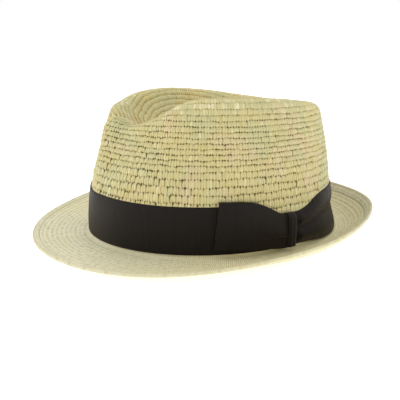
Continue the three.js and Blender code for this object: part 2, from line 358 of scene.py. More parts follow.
# Meshes
def add_piece(name, points, quads, tris, material, node, run, layers=None):
    """Makes a piece of the hat, with float layers and a map of millimetres along its strands."""
    points = np.asarray(points, float).reshape(-1, 3)
    quads = np.asarray(quads, np.int64).reshape(-1, 4)
    tris = np.asarray(tris, np.int64).reshape(-1, 3)
    mesh = bpy.data.meshes.new(name)
    mesh.vertices.add(len(points))
    mesh.vertices.foreach_set("co", place(points).astype(np.float32).ravel())
    corners = np.concatenate([quads.ravel(), tris.ravel()])
    mesh.loops.add(len(corners))
    mesh.loops.foreach_set("vertex_index", corners.astype(np.int32))
    starts = np.concatenate([np.arange(len(quads)) * 4, quads.size + np.arange(len(tris)) * 3])
    mesh.polygons.add(len(starts))
    mesh.polygons.foreach_set("loop_start", starts.astype(np.int32))
    mesh.polygons.foreach_set("use_smooth", np.ones(len(starts), bool))
    mesh.update(calc_edges=True)
    mesh.validate()
    for layer, values in (layers or {}).items():
        mesh.attributes.new(layer, "FLOAT", "POINT")
        mesh.attributes[layer].data.foreach_set("value", np.asarray(values, np.float32).ravel())
    uv = mesh.uv_layers.new(name="run")
    along = np.asarray(run, float).reshape(-1, 2)[corners]
    uv.data.foreach_set("uv", along.astype(np.float32).ravel())
    mesh.materials.append(material)
    piece = bpy.data.objects.new(name, mesh)
    bpy.context.scene.collection.objects.link(piece)
    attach(piece, "root")
    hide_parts(node)


def ring_quads(rows, around, closed):
    """Quads between rings of equal length. Closed rows join the last ring to the first."""
    row = np.arange(rows if closed else rows - 1)[:, None]
    k = np.arange(around)[None, :]
    here = row * around
    there = ((row + 1) % rows) * around
    after = (k + 1) % around
    return np.stack([here + k, here + after, there + after, there + k], axis=-1).reshape(-1, 4)


def ring_fans(rows, around):
    """Triangles that close the first and the last ring, each to a point that follows the rings' own."""
    k = np.arange(around)
    after = (k + 1) % around
    last = (rows - 1) * around
    return np.concatenate([
        np.stack([after, k, np.full(around, rows * around)], axis=1),
        np.stack([last + k, last + after, np.full(around, rows * around + 1)], axis=1),
    ])


def run_map(along, across):
    return np.stack(np.broadcast_arrays(along, across), axis=-1)


# Materials
class Look:
    """A node material. add() makes a node from its inputs: a socket is linked, a value is set."""

    def __init__(self, name):
        self.material = bpy.data.materials.new(name)
        self.material.use_nodes = True
        self.tree = self.material.node_tree
        self.shader = self.tree.nodes["Principled BSDF"]

    def fill(self, node, inputs):
        for key, value in inputs.items():
            if isinstance(value, bpy.types.NodeSocket):
                self.tree.links.new(value, node.inputs[key])
            else:
                node.inputs[key].default_value = value
        return node

    def add(self, kind, inputs, **settings):
        node = self.tree.nodes.new(kind)
        for key, value in settings.items():
            setattr(node, key, value)
        return self.fill(node, inputs)

    def math(self, operation, a, b=0.0):
        return self.add("ShaderNodeMath", {0: a, 1: b}, operation=operation).outputs[0]

    def mix(self, share, a, b):
        return self.add("ShaderNodeMix", {0: share, 6: a, 7: b}, data_type="RGBA").outputs[2]

    def ramp(self, value, low, high):
        inputs = {"Value": value, "From Min": low, "From Max": high}
        return self.add("ShaderNodeMapRange", inputs, interpolation_type="SMOOTHSTEP").outputs[0]

    def where(self):
        return self.add("ShaderNodeTexCoord", {}).outputs["Object"]

    def run(self, scale):
        uv = self.add("ShaderNodeUVMap", {}, uv_map="run").outputs[0]
        return self.add("ShaderNodeMapping", {"Vector": uv, "Scale": scale}).outputs[0]

    def noise(self, vector, scale, detail=2.0):
        inputs = {"Vector": vector, "Scale": scale, "Detail": detail}
        return self.add("ShaderNodeTexNoise", inputs).outputs[0]

    def layer(self, name):
        return self.add("ShaderNodeAttribute", {}, attribute_name=name).outputs["Fac"]

    def bump(self, height, distance, strength=1.0):
        inputs = {"Height": height, "Distance": distance, "Strength": strength}
        return self.add("ShaderNodeBump", inputs).outputs[0]


# Colours as they show on a screen, 0 to 255
CROCHET_WARM = (193, 181, 127)
CROCHET_COOL = (184, 180, 134)
CROCHET_BLUSH = (199, 181, 143)
# Pale and deep straw for random strands, also used for the painted highlight on the crest and the painted
# shade in the crease's grooves
CROCHET_PALE_AND_HIGHLIGHT = (217, 209, 170)
CROCHET_DEEP_AND_SHADE = (184, 164, 92)
CROCHET_FIBRE = (160, 144, 84)
# Backing colours: painted shade, dark so that the gaps between the stitches look shaded
BACKING_SHADE_DARK = (72, 62, 30)
BACKING_SHADE_PALE = (118, 104, 58)
WOVEN_PALE = (229, 225, 198)
WOVEN_COOL = (221, 219, 187)
WOVEN_GRAIN = (208, 198, 156)
# Painted warm light: a warmer, brighter straw for the brim's sides and back
WOVEN_PAINTED_WARM_LIGHT = (240, 230, 181)
# Painted shade in the pits and grooves of the brim's weave
WOVEN_PIT_SHADE = (126, 113, 66)
RIBBON_DARK = (14, 10, 7)
RIBBON_LIGHT = (24, 18, 13)
RIBBON_SHEEN = (1, 0.8, 0.62, 1)
RIB_PITCH = 0.9
BLUSH_SHARE = 0.6
FIBRE_SHARE = 0.4
THREAD_HEIGHT = 1.5


def linear(screen):
    """A screen colour as a shader takes it."""
    shares = [v / 255 for v in screen]
    return (*[v / 12.92 if v <= 0.04045 else ((v + 0.055) / 1.055) ** 2.4 for v in shares], 1)


def crochet_look():
    look = Look("crocheted_straw")
    where = look.where()
    patch = look.ramp(look.noise(where, 34, 3), 0.38, 0.62)
    blush = look.ramp(look.noise(where, 47, 2), 0.54, 0.68)
    tone_and_painted_light = look.layer("tone_and_painted_light")
    fibre = look.noise(look.run((2.6, 0.35, 1)), 1, 3)
    straw = look.mix(patch, linear(CROCHET_WARM), linear(CROCHET_COOL))
    straw = look.mix(look.math("MULTIPLY", blush, BLUSH_SHARE), straw, linear(CROCHET_BLUSH))
    # The tone layer brings in pale and deep straw: random strands, the painted highlight on the crest and
    # the painted shade in the crease's grooves
    straw = look.mix(look.ramp(tone_and_painted_light, 0.6, 1.1), straw, linear(CROCHET_PALE_AND_HIGHLIGHT))
    straw = look.mix(look.ramp(tone_and_painted_light, 0.4, -0.2), straw, linear(CROCHET_DEEP_AND_SHADE))
    dull = look.mix(FIBRE_SHARE, straw, linear(CROCHET_FIBRE))
    straw = look.mix(look.ramp(fibre, 0.3, 0.6), dull, straw)
    look.fill(look.shader, {
        "Base Color": straw,
        "Roughness": 0.55,
        "Specular IOR Level": 0.4,
        "Normal": look.bump(fibre, 0.3 * MM, 0.4),
    })
    return look.material


# Dark material of the backing: painted shade for the gaps between the stitches
def painted_shade_backing_look():
    look = Look("crown_backing_painted_shade")
    grain = look.noise(look.run((1.6, 0.4, 1)), 1, 3)
    look.fill(look.shader, {
        "Base Color": look.mix(grain, linear(BACKING_SHADE_DARK), linear(BACKING_SHADE_PALE)),
        "Roughness": 0.8,
        "Normal": look.bump(grain, 0.6 * MM),
    })
    return look.material


def woven_look():
    look = Look("woven_straw")
    patch = look.ramp(look.noise(look.where(), 28, 3), 0.35, 0.65)
    grain = look.noise(look.run((0.5, 0.5, 1)), 1, 3)
    straw = look.mix(patch, linear(WOVEN_PALE), linear(WOVEN_COOL))
    straw = look.mix(look.ramp(grain, 0.56, 0.3), straw, linear(WOVEN_GRAIN))
    # Painted warm light on the brim's sides and back, then painted shade in the pits
    straw = look.mix(look.layer("painted_warm_light"), straw, linear(WOVEN_PAINTED_WARM_LIGHT))
    straw = look.mix(look.layer("pit_shade"), straw, linear(WOVEN_PIT_SHADE))
    look.fill(look.shader, {
        "Base Color": straw,
        "Roughness": 0.6,
        "Specular IOR Level": 0.4,
        "Normal": look.bump(grain, 0.4 * MM, 0.6),
    })
    return look.material


def ribbon_look():
    look = Look("ribbon")
    along = look.add("ShaderNodeSeparateXYZ", {"Vector": look.run((1, 1, 1))}).outputs[0]
    rib = look.math("SINE", look.math("MULTIPLY", along, 2 * math.pi / RIB_PITCH))
    thread = look.noise(look.run((0.35, 0.06, 1)), 1, 3)
    height = look.math("ADD", rib, look.math("MULTIPLY", thread, THREAD_HEIGHT))
    look.fill(look.shader, {
        "Base Color": look.mix(thread, linear(RIBBON_DARK), linear(RIBBON_LIGHT)),
        "Roughness": 0.55,
        "Specular IOR Level": 0.13,
        "Sheen Weight": 0.12,
        "Sheen Roughness": 0.35,
        "Sheen Tint": RIBBON_SHEEN,
        "Normal": look.bump(height, 0.08 * MM),
    })
    return look.material


# Crown: a backing shell in dark painted shade, and over it the stitches in rows that run round from the
# foot to the pole
STITCHES_AROUND = 142
FEWEST_STITCHES = 6
STITCH_WIDTH = 3.5
STITCH_THICK = 1.5
STITCH_SINK = 0.3
ROWS_LEVEL_TO = 80
POLE_GAP = 1.5
LEAST_ROW = 2
LOWER_ROWS = 10
CREST_ROW = 19
UPPER_ROWS = 21

# Zones of the crochet: the weave is open near the foot and close at the crest and inside the crease, and
# the front is looser than the sides
OPEN_ROWS = (4, 11)
CLOSE_ROW = CREST_ROW + 1
CLOSE_SPREAD = 2
CLOSE_INSIDE = 0.7
INSIDE_ROWS = (CREST_ROW, CREST_ROW + 3)
FRONT_ROWS = (12, 18)
FRONT_ANGLES = (62, 26)

# Backing shell: its depths under the crown's surface, its mesh and the relief inside the hat
SHELL_TOP = -0.7
SHELL_DEPTH = -CROWN_WALL - 0.15
SHELL_AROUND = 240
SHELL_RINGS = 76
SHELL_RINGS_A_ROW = 5
SHELL_RIDGE = 0.75
SHELL_CELL = 0.12
SHELL_POLE = 0.4
SHELL_POLE_ROWS = 2
SHELL_POLE_DEPTH = -CROWN_WALL + 0.25
SHELL_RUN_A_DEGREE = 1.5
SHELL_RUN_A_ROW = 4.4
SHELL_RUN_END = (0, 170)

# Each stitch is a pair of strands, and each strand is a closed lobe: the place of its rings along it, as
# shares of a row, and their share of its width and thickness
LOBE_RINGS = [(-0.5, 0.34), (-0.29, 0.96), (0.24, 0.95), (0.49, 0.36)]
LOBE_TIP = 0.6
LOBE_SIDES = 6

# Traits of a strand: in the middle rows, and what the open rows, the close rows at the crest and in the
# crease, and the front of the hat add. Lengths are in millimetres, and reach is in rows.
STRAND = {
    "spread": (0.07, 0.2, 0, 0.12),
    "spread_jitter": (0.09, 0, 0, 0.05),
    "stray": (0.1, 0, 0, 0.08),
    "width": (0.36, 0, 0.015, -0.02),
    "width_jitter": (0.06, 0, 0, 0.02),
    "reach": (1.05, 0, 0.1, -0.04),
    "unevenness": (0.035, 0, 0, 0.03),
}

# What is random about a strand, and how much calmer the close weave is
JITTER_LIMIT = 2.2
TIGHT_LIMIT = 1.5
PLACE_JITTER = 0.08
PAIR_JITTER = 0.05
REACH_JITTER = 0.07
REACH_LOOSE = 0.06
LIFT_JITTER = 0.14
CALM = 0.7
REACH_CALM = 0.6

# How far a strand slopes along its length, and its ends go down
STRAND_SLOPE = 0.3
END_DROP = 0.26
END_DROP_INSIDE = 0.35

# Tone of a strand from 0 to 1: a painted highlight on the crest, painted shade at its ends inside the
# crease
TONE_MIDDLE = 0.5
TONE_JITTER = 0.15
CREST_HIGHLIGHT = 0.2
CREST_HIGHLIGHT_ROWS = 1.6
GROOVE_SHADE = 0.55

# Millimetres of straw on the map, from row to row and along a strand
RUN_A_ROW = 7
RUN_ALONG = 4

# How the line between two rows strays: waves round the hat with their height, and their turn and beat from
# row to row
WOBBLE_WAVES = ((7, 0.05), (17, 0.05), (39, 0.04))
WOBBLE_TURN = 2.4
WOBBLE_BEAT = 0.37


def line_lengths():
    return np.linalg.norm(np.diff(CROWN, axis=1), axis=2).sum(axis=1)


def row_runs():
    """Distances from the foot, over the side of the hat, at which the crochet rows meet."""
    end = line_lengths()[GRID_ROUND // 4] - POLE_GAP
    runs = [0.0]
    while runs[-1] < end - LEAST_ROW:
        runs.append(runs[-1] + float(read(ROWS, "run", "pitch", runs[-1])))
    return np.array(runs) * end / runs[-1]


def row_field():
    """Share of the way from foot to pole, by angle, at which the rows meet.

    They run level round the wall and over the crest, and close up or spread inside the crease, where
    the lines differ in length.
    """
    lengths = line_lengths()
    side = lengths[GRID_ROUND // 4]
    shares = np.linspace(0, 1, GRID_ALONG)
    runs = row_runs()
    field = []
    for length in lengths:
        run = shares * length
        spread = smooth((run - ROWS_LEVEL_TO) / (length - ROWS_LEVEL_TO))
        field.append(np.interp(runs, run + (side - length) * spread, shares))
    return np.array(field)


ROW_FIELD = row_field()
ROW_COUNT = ROW_FIELD.shape[1] - 1


def row_share(angle, row):
    """Share of the way from foot to pole at an angle and a row, which may lie between two rows."""
    i = (np.asarray(angle, float) % 360) / 360 * GRID_ROUND
    row = np.clip(np.asarray(row, float), 0, ROW_COUNT)
    i, row = np.broadcast_arrays(i, row)
    i0 = np.floor(i).astype(int)
    r0 = np.minimum(np.floor(row).astype(int), ROW_COUNT - 1)
    s, t = i - i0, row - r0
    i0 = i0 % GRID_ROUND
    i1 = (i0 + 1) % GRID_ROUND
    near = lerp(ROW_FIELD[i0, r0], ROW_FIELD[i0, r0 + 1], t)
    far = lerp(ROW_FIELD[i1, r0], ROW_FIELD[i1, r0 + 1], t)
    return lerp(near, far, s)


def row_at(angle, row, lift):
    return crown_at(angle, row_share(angle, row), lift)


def girth(row):
    ring = row_at(np.arange(360), row, 0)
    return np.linalg.norm(ring - np.roll(ring, 1, axis=0), axis=1).sum()


def backing():
    """Shell under the stitches, dark as painted shade in the gaps between them. Inside the hat its rows
    show as ridges.
    """
    angle = (np.arange(SHELL_AROUND) * 360 / SHELL_AROUND)[None, :]
    outer = np.linspace(0, ROW_COUNT, SHELL_RINGS)[:, None]
    inner = np.arange(ROW_COUNT * SHELL_RINGS_A_ROW + 1)[:, None] / SHELL_RINGS_A_ROW
    ridge = np.abs(np.sin(np.pi * inner))
    cell = np.cos(np.radians(angle) * STITCHES_AROUND)
    relief = SHELL_RIDGE * (1 - ridge) - SHELL_CELL * cell * ridge
    depth = SHELL_DEPTH + np.where(inner > ROW_COUNT - SHELL_POLE_ROWS, SHELL_POLE, relief)
    rings = np.concatenate([row_at(angle, outer, SHELL_TOP)[::-1], row_at(angle, inner, depth)])
    rows = np.concatenate([outer[::-1], inner])
    poles = [crown_at(0, 1, SHELL_TOP), crown_at(0, 1, SHELL_POLE_DEPTH)]
    run = run_map(angle * SHELL_RUN_A_DEGREE, rows * SHELL_RUN_A_ROW).reshape(-1, 2)
    add_piece(
        "crown_backing_painted_shade",
        np.concatenate([rings.reshape(-1, 3), poles]),
        ring_quads(len(rings), SHELL_AROUND, False),
        ring_fans(len(rings), SHELL_AROUND),
        painted_shade_backing_look(),
        "crown",
        np.concatenate([run, [SHELL_RUN_END, SHELL_RUN_END]]),
    )


def wobble(angle, row):
    """How far the meeting line of two rows strays from its place, as a share of a row."""
    share = 0.0
    for waves, part in WOBBLE_WAVES:
        turn = np.radians(angle) * waves + WOBBLE_TURN * row * waves
        share = share + part * np.sin(turn) * np.cos(WOBBLE_BEAT * row * waves)
    return share


def strand_trait(name, zones):
    """A trait of the strands, from their shares of the open, the close and the front zone."""
    value, *added = STRAND[name]
    for part, zone in zip(added, zones):
        value = value + part * zone
    return value


def stitches(name, rows, material):
    """Pairs of flattened strands that lean together at the top, one pair for each stitch."""
    ring_count = len(LOBE_RINGS)
    along = np.array([p for p, _ in LOBE_RINGS for _ in range(LOBE_SIDES)] + [-LOBE_TIP, LOBE_TIP])
    swell = np.array([s for _, s in LOBE_RINGS for _ in range(LOBE_SIDES)] + [0, 0])
    turn = np.array([2 * np.pi * k / LOBE_SIDES for k in range(LOBE_SIDES)] * ring_count + [0, 0])
    end_drop = np.square(2 * along)
    points, tones_and_painted_light, runs = [], [], []
    for r in rows:
        around = girth(r + 0.5)
        count = int(min(STITCHES_AROUND, max(FEWEST_STITCHES, round(around / STITCH_WIDTH))))
        width = around / count
        pair = np.repeat(np.arange(count), 2)
        side = np.tile([-1.0, 1.0], count)
        jitter = np.clip(rng.normal(0, 1, (7, len(pair))), -JITTER_LIMIT, JITTER_LIMIT)
        loose = np.repeat(np.clip(rng.normal(0, 1, count), -TIGHT_LIMIT, JITTER_LIMIT), 2)
        stray = np.repeat(rng.normal(0, 1, count), 2)

        # Every other row is moved by half a stitch, and a strand lies a quarter of one off its middle
        centre = (pair + 0.5 * (r % 2) + 0.25 * side) * width
        centre = centre + PLACE_JITTER * jitter[0] + PAIR_JITTER * stray

        inside = rising(r, INSIDE_ROWS)
        closed = np.maximum(bell((r - CLOSE_ROW) / CLOSE_SPREAD), CLOSE_INSIDE * inside)
        front = rising(side_angle(centre * 360 / around), FRONT_ANGLES) * (1 - rising(r, FRONT_ROWS))
        zones = (1 - rising(r, OPEN_ROWS), closed, front)

        spread = strand_trait("spread", zones) + strand_trait("spread_jitter", zones) * jitter[1]
        lean = -side * spread * (1 - CALM * closed) + strand_trait("stray", zones) * stray
        half = width * strand_trait("width", zones)
        half = half * (1 + strand_trait("width_jitter", zones) * jitter[2])
        uneven_reach = (REACH_JITTER * jitter[3] - REACH_LOOSE * loose) * (1 - REACH_CALM * closed)
        reach = strand_trait("reach", zones) + uneven_reach
        lift = LIFT_JITTER * jitter[4] * (1 - CALM * closed)
        # Random tone of each strand; the painted highlight and shade are added to it below
        tone_and_painted_light = np.clip(TONE_MIDDLE + TONE_JITTER * jitter[5], 0, 1)
        uneven = strand_trait("unevenness", zones) * (1 - closed) * jitter[6]

        across = np.cos(turn) * swell * half[:, None] + lean[:, None] * (along + 0.5)
        across = centre[:, None] + across
        angle = across * 360 / around
        row = r + 0.5 + along * reach[:, None]
        row = row + wobble(angle, np.round(row)) + uneven[:, None]
        height = (
            SHELL_TOP + STITCH_THICK / 2 - STITCH_SINK
            + np.sin(turn) * swell * STITCH_THICK / 2
            - STRAND_SLOPE * along - (END_DROP + END_DROP_INSIDE * inside) * end_drop + lift[:, None]
        )
        points.append(row_at(angle, np.clip(row, 0, ROW_COUNT), height).reshape(-1, 3))
        # Painted highlight on the crest rows, and painted shade at the strand ends in the crease's grooves
        crest_highlight = CREST_HIGHLIGHT * bell((r - CREST_ROW - 0.5) / CREST_HIGHLIGHT_ROWS)
        tones_and_painted_light.append((tone_and_painted_light[:, None] + crest_highlight - GROOVE_SHADE * inside * end_drop).ravel())
        runs.append(run_map(across, r * RUN_A_ROW + along * RUN_ALONG).reshape(-1, 2))
    points = np.concatenate(points)
    offset = np.arange(len(points) // len(along))[:, None, None] * len(along)
    add_piece(
        name,
        points,
        (ring_quads(ring_count, LOBE_SIDES, False)[None] + offset).reshape(-1, 4),
        (ring_fans(ring_count, LOBE_SIDES)[None] + offset).reshape(-1, 3),
        material,
        "crown",
        np.concatenate(runs),
        layers={"tone_and_painted_light": np.concatenate(tones_and_painted_light)},
    )


def crown():
    backing()
    look = crochet_look()
    stitches("crown_wall_lower", range(0, LOWER_ROWS), look)
    stitches("crown_wall_upper", range(LOWER_ROWS, UPPER_ROWS), look)
    stitches("crown_crease", range(UPPER_ROWS, ROW_COUNT), look)


# Brim
BRIM_AROUND = 960
WEAVE_ROWS = 10
WEAVE_START = BRIM_BEND + 0.2
WEAVE_END = HEM_WIDTH + 0.6
ROUND_SCALE = 1.9
COLLAR_RINGS = 5

# Relief of the weave and the painted shade in its pits, from 0 to 1
KNOB_RELIEF = 0.24
KNOB_SINK = 0.1
KNOB_SHARES = (0.45, 1.15)
KNOB_STRAY = 0.32
KNOB_PIT_SHADE = 0.42
KNOB_PIT_SHADE_FADE = 0.5
ROW_PIT_SHADE = 0.15
RIDGE_RELIEF = 0.16
RIDGE_ROWS = 3
UNDER_LIFT = 0.28
UNDER_RELIEF = 0.8
UNDER_PIT_SHADE = 0.6

# Angles from the front over which the ridges and the painted warm light come in
RIDGE_ANGLES = (70, 120)
PAINTED_WARM_ANGLES = (25, 80)
PAINTED_WARM_SHARE = 0.85
HEM_PAINTED_WARMTH = 0.25

# Rolled hem: its rows in the weave, and the shares of its width at which its rings lie
HEM_ROW = 40
UNDER_ROW = HEM_ROW + 6
HEM_TOP = (0.08, 0.24, 0.4, 0.56, 0.72)
HEM_ROUND = (70, 40, 10, -10, -40, -70)
HEM_UNDER = (0.7, 0.4, 0.1)
HEM_PUFF = 0.6
HEM_PUFF_RISE = 2.2
HEM_RELIEF = 0.8
# Painted shade on the hem's rounded edge and its underside, from 0 to 1
HEM_ROUND_PIT_SHADE = 0.4
HEM_UNDER_PIT_SHADE = 0.2

# Grooves where the hem is sewn on, above and below: the distance from the hem, the depth and the painted
# shade
GROOVE_ABOVE = (0.1, 0.14, 0.6)
GROOVE_BELOW = (0.2, 0.25, 0.9)

# Bend between the collar and the brim: the angles of its rings and the painted shade in their pits
BEND_OUTSIDE = (30, 60, 80)
BEND_INSIDE = (60, 30, 0)
BEND_PIT_SHADES = (0.2, 0.4)


def brim():
    """Brim with its collar, bend and rolled hem, in a relief of staggered pits with painted shade, and
    painted warm light on its sides and back.
    """
    angles = np.arange(BRIM_AROUND) * 360 / BRIM_AROUND
    angle = angles[None, :]
    column = np.arange(BRIM_AROUND)[None, :]
    reach = BRIM_REACH * read_edge(angle, "reach")
    behind = rising(side_angle(angle), RIDGE_ANGLES)
    # Painted warm light on the sides and back, less of it on the hem
    painted_warm_light = PAINTED_WARM_SHARE * rising(side_angle(angles), PAINTED_WARM_ANGLES)
    rings, pit_shades, painted_warmth, runs = [], [], [], []

    def ring(points, pit_shade=0.0, row=0.0):
        rings.append(np.broadcast_to(points, (1, BRIM_AROUND, 3))[0])
        pit_shades.append(np.broadcast_to(np.asarray(pit_shade, float), (1, BRIM_AROUND))[0])
        painted_warmth.append(painted_warm_light * (1 if row < HEM_ROW else HEM_PAINTED_WARMTH))
        runs.append(run_map(angles * ROUND_SCALE, row))

    def weave(k):
        """Relief and painted pit shade at a half row: staggered knobs on broad ridges that show at the
        back.
        """
        ridge = RIDGE_RELIEF * behind * math.cos(2 * math.pi * k / RIDGE_ROWS)
        if k % 2 == 0:
            return ridge, ROW_PIT_SHADE
        knob = np.where((column + k // 2) % 2 == 0, 1.0, -1.0) * rng.uniform(*KNOB_SHARES, BRIM_AROUND)
        return KNOB_RELIEF * knob - KNOB_SINK + ridge, np.clip(KNOB_PIT_SHADE - KNOB_PIT_SHADE_FADE * knob, 0, 1)

    def strayed():
        """Angles round the brim, each a little off its place."""
        return angle + rng.uniform(-KNOB_STRAY, KNOB_STRAY, (1, BRIM_AROUND)) * 360 / BRIM_AROUND

    def bend_ring(radius, degrees, pit_shade=0.0):
        """A ring on the bend between the collar and the brim, at an angle from the level."""
        across = BRIM_BEND - radius * math.cos(math.radians(degrees))
        ring(head_point(angle, across, BRIM_BEND - radius * math.sin(math.radians(degrees))), pit_shade)

    # Outside, from the collar's top to the hem
    steps = WEAVE_ROWS * 2
    outs = [lerp(WEAVE_START, reach - WEAVE_END, k / steps) for k in range(steps + 1)]
    for k in range(COLLAR_RINGS + 1):
        ring(wall_point(angle, lerp(COLLAR_HEIGHT, BRIM_BEND, k / COLLAR_RINGS)))
    for degrees in BEND_OUTSIDE:
        bend_ring(BRIM_BEND, degrees, BEND_PIT_SHADES[0] + BEND_PIT_SHADES[1] * (column % 2))
    for k in range(steps + 1):
        relief, pit_shade = weave(k)
        ring(brim_point(strayed(), outs[k], relief), pit_shade, k)

    # Round the hem
    swell = (HEM_THICKNESS - BRIM_WALL) / 2
    half = HEM_THICKNESS / 2
    gap, depth, pit_shade = GROOVE_ABOVE
    ring(brim_point(angle, reach - HEM_WIDTH - gap, -depth), pit_shade, HEM_ROW)
    for k, share in enumerate(HEM_TOP):
        relief, pit_shade = weave(k + 1)
        puff = swell * HEM_PUFF * math.sin(math.pi * min(share * HEM_PUFF_RISE, 0.5))
        lift = puff + relief * HEM_RELIEF
        ring(brim_point(strayed(), reach - HEM_WIDTH * (1 - share), lift), pit_shade, HEM_ROW + 1 + share)
    for degrees in HEM_ROUND:
        out = reach - half + half * math.cos(math.radians(degrees))
        lift = -BRIM_WALL / 2 + half * math.sin(math.radians(degrees))
        ring(brim_point(angle, out, lift), HEM_ROUND_PIT_SHADE, HEM_ROW + 3)
    for share in HEM_UNDER:
        out = reach - HEM_WIDTH * (1 - share)
        ring(brim_point(angle, out, -BRIM_WALL - swell), HEM_UNDER_PIT_SHADE, HEM_ROW + 4)
    gap, depth, pit_shade = GROOVE_BELOW
    ring(brim_point(angle, reach - HEM_WIDTH - gap, -BRIM_WALL + depth), pit_shade, HEM_ROW + 5)

    # Underside, back to the collar's top
    for k in range(steps, -1, -1):
        relief, pit_shade = weave(k)
        lift = UNDER_LIFT - BRIM_WALL - relief * UNDER_RELIEF
        ring(brim_point(angle, outs[k], lift), pit_shade * UNDER_PIT_SHADE, UNDER_ROW + k)
    for degrees in BEND_INSIDE:
        bend_ring(BRIM_BEND + BRIM_WALL, degrees)
    for k in range(1, COLLAR_RINGS + 1):
        ring(wall_point(angle, lerp(BRIM_BEND, COLLAR_HEIGHT, k / COLLAR_RINGS), -BRIM_WALL))

    add_piece(
        "brim_weave",
        np.stack(rings),
        ring_quads(len(rings), BRIM_AROUND, True)[:, ::-1],
        [],
        woven_look(),
        "brim",
        np.stack(runs),
        layers={"pit_shade": np.stack(pit_shades), "painted_warm_light": np.stack(painted_warmth)},
    )


# Ribbon band and bow
knot_side = head_point(np.array([KNOT_ANGLE - 0.5, KNOT_ANGLE + 0.5]), 0, 0)
KNOT_RATE = float(np.linalg.norm(knot_side[1] - knot_side[0]))
BAND_FACE = SEAT_GAP + RIBBON_WALL
LOOP_SEAT = BAND_FACE + SEAT_GAP
LOOP_FACE = LOOP_SEAT + RIBBON_WALL + LAYER_GAP + RIBBON_WALL

BAND_AROUND = 1080
BAND_RINGS_OUTSIDE = 25
BAND_RINGS_INSIDE = 9
BAND_SCALE = 1.6
SOFT_EDGE = 0.12
SOFT_BACK = 0.1
PLEAT_SHARPNESS = 1.3

# Behind the knot the ribbon's foot flares over the brim: how far it comes out and down, the distances
# behind the knot over which it does, and the share of the ribbon's width that it takes
FLARE_REACH = 5
FLARE_DROP = 1.8
FLARE_START = 40
FLARE_MIDDLE = 58
FLARE_SPREAD = 38
FLARE_RISE = 0.26

# Loop: the steps of its mesh, its belly, and a pleat with a soft upper and a sharp lower side
LOOP_STEPS = 45
LOOP_SHARES = 41
LOOP_TURN = 15
BELLY_EDGE = 0.45
PLEAT_SHARE = 0.4
PLEAT_SOFT = 0.3
PLEAT_SHARP = 0.045

# Knot: the steps of its mesh, and its cross-section with two folds, by its place across
KNOT_STEPS = 33
KNOT_SHARES = 17
KNOT_FOLD = 0.28
KNOT_FOLD_AT = 0.45
KNOT_FOLD_SPREAD = 0.16
KNOT_SWELL = 1.4
KNOT_SWELL_FADE = 0.4
KNOT_CORNER = 0.55


def behind_knot(angle):
    """Distance from the knot to the back, in millimetres round the band."""
    return (angle - KNOT_ANGLE) * KNOT_RATE


def band_edges(angle):
    gather = plateau((behind_knot(angle) - KNOT_WIDTH / 2) / GATHER_SPREAD)
    return BAND_LIFT, BAND_LIFT + BAND_WIDTH - GATHER_DIP * gather


def pleat_at(angle, share):
    behind = behind_knot(angle)
    start = smooth(behind / KNOT_WIDTH - 1)
    fan = start * bell((behind - PLEAT_SPREAD * PLEAT_START) / PLEAT_SPREAD)
    return PLEAT_RELIEF * fan * np.abs(np.sin(2 * math.pi * share)) ** PLEAT_SHARPNESS


def flare_at(angle, share):
    """How far the ribbon's foot hangs out over the brim behind the knot, from 0 to 1."""
    behind = behind_knot(angle)
    fan = smooth(behind / FLARE_START) * bell((behind - FLARE_MIDDLE) / FLARE_SPREAD)
    return fan * bell(share / FLARE_RISE)


def band(look):
    angle = (np.arange(BAND_AROUND) * 360 / BAND_AROUND)[None, :]
    low, high = band_edges(angle)
    rings, runs = [], []
    for share, face, edge in (
        *((share, BAND_FACE, -SOFT_EDGE) for share in np.linspace(0, 1, BAND_RINGS_OUTSIDE)),
        *((share, SEAT_GAP, SOFT_BACK) for share in np.linspace(1, 0, BAND_RINGS_INSIDE)),
    ):
        flare = flare_at(angle, share)
        out = face + edge * (share in (0, 1)) + pleat_at(angle, share) + FLARE_REACH * flare
        rings.append(wall_point(angle, lerp(low, high, share) - FLARE_DROP * flare, out)[0])
        runs.append(run_map(angle[0] * BAND_SCALE, share * BAND_WIDTH))
    quads = ring_quads(len(rings), BAND_AROUND, True)
    add_piece("ribbon_band", np.stack(rings), quads, [], look, "band", np.stack(runs))


def add_strip(name, sections, look, node, runs):
    """A piece of ribbon from sections, each an outer skin and then the inner one backwards."""
    points = np.stack(sections)
    rows, size = points.shape[:2]
    k = np.arange(size // 2 - 1)
    end = (rows - 1) * size
    quads = np.concatenate([
        ring_quads(rows, size, False),
        np.stack([size - 1 - k, size - 2 - k, k + 1, k], axis=1),
        np.stack([end + k, end + k + 1, end + size - 2 - k, end + size - 1 - k], axis=1),
    ])
    add_piece(name, points, quads, [], look, node, np.stack(runs))


